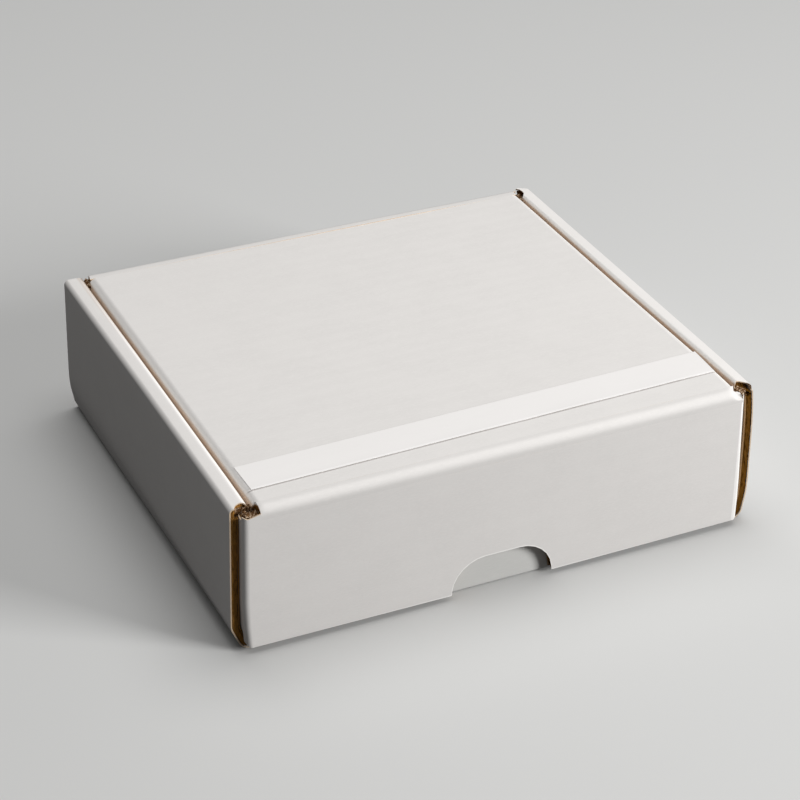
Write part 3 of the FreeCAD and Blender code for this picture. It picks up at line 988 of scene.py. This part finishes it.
def settle(co):
    """The unevenness of a box folded by hand.

    The sides lean in, the rails' outer edges sit low, the fold's ends bend down with the lid's
    edges, the lid swells a little towards the back left and dips to its front fold, the side
    walls draw in at the foot and the flap's bottom corners lift.
    """
    soft = noise.noise_vector(co * 0.014 + Vector((3.1, 8.4, 2.2)))
    height = min(1.0, max(0.0, co.z / BOX_HEIGHT))
    x = co.x * (1 - 0.0002 * (1 + soft.x)) - math.copysign(lean_in(co, height), co.x)
    y = co.y * (1 - 0.0008 * (1 + soft.y))
    z = co.z * (1 - 0.0010 * (1 + soft.z))
    # The rails
    if co.x > 0:
        z -= 1.3 * ease(co.x, 88.5, 94.5) * ease(co.z, 40, 51)
    else:
        z -= 0.9 * ease(-co.x, RAIL_GAP, 90) * ease(co.y, -20, 80) * ease(co.z, 40, 51)
    # The fold's ends
    if co.y < FLAP_FACE + FOLD_REACH and abs(co.x) < RIGHT_RELIEF + 0.01:
        beyond = min(2.7, max(0.0, abs(co.x) - LID_HALF + LID_EDGE_FOLD))
        z -= (LID_EDGE_FOLD - math.sqrt(LID_EDGE_FOLD ** 2 - beyond ** 2)) * ease(co.z, 50, 53)
    # The lid
    if abs(co.x) < RAIL_GAP:
        z += 0.30 * ease(co.z, 49, 51) * ease(co.y, -40, 60) * (1 - ease(co.x, 30, 85))
    z -= 0.30 * ease(co.z, 49, 51) * ease(-co.y, 64, 80)
    # The side walls' foot, and the flap's ends in front of it
    outermost = ease(abs(co.x), 80, 94)
    if co.x > 0:
        x -= 0.9 * ease(-co.z, -16, 0) * outermost
    elif co.y > FLAP_BACK + 0.3:
        tuck_height = 10 + 6 * ease(co.y, -80, 60)
        x += (1.1 + 1.3 * ease(-co.y, -70, 80)) * ease(-co.z, -tuck_height, 0) * outermost
    else:
        x += 1.3 * ease(-co.z, -16, 0) * outermost
    # The flap's bottom corners
    if co.y < FLAP_BACK + 0.2:
        z += 0.5 * (co.x / 90) ** 2 * (1 - height) + 0.35 * (1 - ease(co.z, 0, 25))
    return Vector((x, max(-DEEPEST, min(DEEPEST, y)), z))


def assemble(name, sources, finish, edge):
    """Join the gathered meshes of one piece, settle them and scale them to metres."""
    bm = bmesh.new()
    for mesh, on_left in sources:
        part = bmesh.new()
        part.from_mesh(mesh)
        if on_left:
            bmesh.ops.scale(part, vec=(-1, 1, 1), verts=part.verts[:])
            bmesh.ops.reverse_faces(part, faces=part.faces[:])
        bm.from_mesh(as_mesh(part, "part"))
    for v in bm.verts:
        v.co = settle(v.co)
    bmesh.ops.scale(bm, vec=(MM, MM, MM), verts=bm.verts[:])
    mesh = as_mesh(bm, name, finish, edge)
    mesh.shade_smooth()
    mesh.set_sharp_from_angle(angle=math.radians(32))
    return in_scene(name, mesh)


def shaded(piece):
    """Shade broad faces flat up to their folds."""
    mod = piece.modifiers.new("broad_faces", "WEIGHTED_NORMAL")
    mod.keep_sharp = True
    mod.weight = 80


finishes = {}
for stem, outer_paper in (
    ("side", white_side), ("box", white_fold_painted_shade), ("lid", white_flat), ("wall", front_wall_painted_shade),
    ("flap", white_flap), ("fold", white_fold_painted_shade),
):
    finishes[stem + "_outer"] = (outer_paper, cut_paper)
    finishes[stem + "_inner"] = (kraft, fluting if stem == "side" else kraft)
    finishes[stem + "_flute"] = (fluting, fluting)
    finishes[stem + "_core"] = (fluting, fluting)
    finishes[stem + "_fibre"] = (torn_fibre, torn_fibre)
built = {}
for key, sources in pieces.items():
    built[key] = assemble(key, sources, *finishes[key])
    shaded(built[key])

# The strip across the lid: its front edge lifts, and its right end is cut aslant and wavy
bm = bmesh.new()
bmesh.ops.create_grid(bm, x_segments=80, y_segments=12, size=0.5)
bmesh.ops.scale(bm, vec=(STRIP_LENGTH, STRIP_WIDTH, 1), verts=bm.verts[:])
for v in bm.verts:
    near = max(0.0, -v.co.y / (STRIP_WIDTH / 2))
    fade = min(1.0, max(0.0, (82.0 - v.co.x) / 14.0))
    wander = 0.75 + 0.5 * noise.noise(Vector((v.co.x * 0.05, 4.0, 1.0)))
    v.co.z = 0.20 * near ** 3 * fade * wander
    from_middle = max(0.0, v.co.x / (STRIP_LENGTH / 2))
    v.co.x -= from_middle ** 9 * (1.35 - 1.1 * v.co.y / STRIP_WIDTH)
bmesh.ops.rotate(
    bm, cent=(0, 0, 0), matrix=Matrix.Rotation(STRIP_TURN, 3, "Z"), verts=bm.verts[:],
)
bmesh.ops.translate(
    bm, vec=(STRIP_SHIFT, STRIP_FRONT + STRIP_WIDTH / 2, BOX_HEIGHT), verts=bm.verts[:],
)
strip_sheet = in_scene("layer", as_mesh(bm, "layer"))
wall = strip_sheet.modifiers.new("thickness", "SOLIDIFY")
wall.thickness = 0.12
wall.offset = 1
bpy.context.view_layer.update()
seen = strip_sheet.evaluated_get(bpy.context.evaluated_depsgraph_get())
strip_mesh = bpy.data.meshes.new_from_object(seen)
bpy.data.objects.remove(strip_sheet)
strip = assemble("seal_strip_piece", [(strip_mesh, False)], tape, tape)

for key, piece in built.items():
    if key.startswith("fold"):
        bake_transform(piece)
    elif key.startswith("flap"):
        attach(piece, "front_flap")
        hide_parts("front_flap")
    else:
        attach(piece, "box")
        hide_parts("box_blank")
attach(strip, "box")
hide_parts("seal_strip")

# Floor, lights and camera

bm = bmesh.new()
bmesh.ops.create_grid(bm, x_segments=1, y_segments=1, size=4.0)
floor_paint = bpy.data.materials.new("pale_floor")
floor_paint.use_nodes = True
nodes = floor_paint.node_tree.nodes
links = floor_paint.node_tree.links
shader = nodes["Principled BSDF"]
shader.inputs["Roughness"].default_value = 0.9
shader.inputs["Specular IOR Level"].default_value = 0.1
rays = nodes.new("ShaderNodeLightPath")
tone = nodes.new("ShaderNodeMix")
tone.data_type = "RGBA"
tone.inputs[6].default_value = (0.12, 0.12, 0.12, 1)
tone.inputs[7].default_value = (0.66, 0.66, 0.65, 1)
links.new(rays.outputs["Is Camera Ray"], tone.inputs[0])
links.new(tone.outputs[2], shader.inputs["Base Color"])
floor = in_scene("floor", as_mesh(bm, "floor", floor_paint))


def lamp(name, position, size, power, aim=(0, 0, 0.03)):
    """A soft square lamp that faces the box."""
    data = bpy.data.lights.new(name, "AREA")
    data.size = size
    data.energy = power
    light = in_scene(name, data)
    light.location = position
    light.rotation_euler = (Vector(aim) - Vector(position)).to_track_quat("-Z", "Y").to_euler()


lamp("key", (0.91, -0.96, 0.50), 0.48, 17.9)
lamp("overhead", (0.15, 0.25, 1.5), 1.3, 14.7)
world = bpy.data.worlds.new("room")
bpy.context.scene.world = world
world.use_nodes = True
room_light = world.node_tree.nodes["Background"]
room_light.inputs["Color"].default_value = (1, 1, 1, 1)
room_light.inputs["Strength"].default_value = 0.105

# The camera, fitted to the photo's corners
CAMERA_TARGET = Vector((0.018484, 0.038651, 0.0))
CAMERA_AZIMUTH = math.radians(25.027)
CAMERA_ELEVATION = math.radians(31.131)
CAMERA_ROLL = math.radians(0.500)
CAMERA_DISTANCE = 0.88589
FOCAL_PIXELS = 2380.4
PICTURE_PIXELS = 800
SENSOR_WIDTH = 36
forward = Vector((
    math.sin(CAMERA_AZIMUTH) * math.cos(CAMERA_ELEVATION),
    math.cos(CAMERA_AZIMUTH) * math.cos(CAMERA_ELEVATION),
    -math.sin(CAMERA_ELEVATION),
))
right = forward.cross(UPWARD).normalized()
upright = right.cross(forward)
rolled_right = right * math.cos(CAMERA_ROLL) + upright * math.sin(CAMERA_ROLL)
rolled_up = upright * math.cos(CAMERA_ROLL) - right * math.sin(CAMERA_ROLL)
camera_data = bpy.data.cameras.new("camera")
camera_data.lens = FOCAL_PIXELS * SENSOR_WIDTH / PICTURE_PIXELS
camera_data.sensor_width = SENSOR_WIDTH
camera_data.clip_start = 0.05
camera = in_scene("camera", camera_data)
standpoint = CAMERA_TARGET - forward * CAMERA_DISTANCE
camera.matrix_world = Matrix((
    (rolled_right.x, rolled_up.x, -forward.x, standpoint.x),
    (rolled_right.y, rolled_up.y, -forward.y, standpoint.y),
    (rolled_right.z, rolled_up.z, -forward.z, standpoint.z),
    (0, 0, 0, 1),
))
bpy.context.scene.camera = camera
bpy.context.scene.view_settings.view_transform = "Standard"
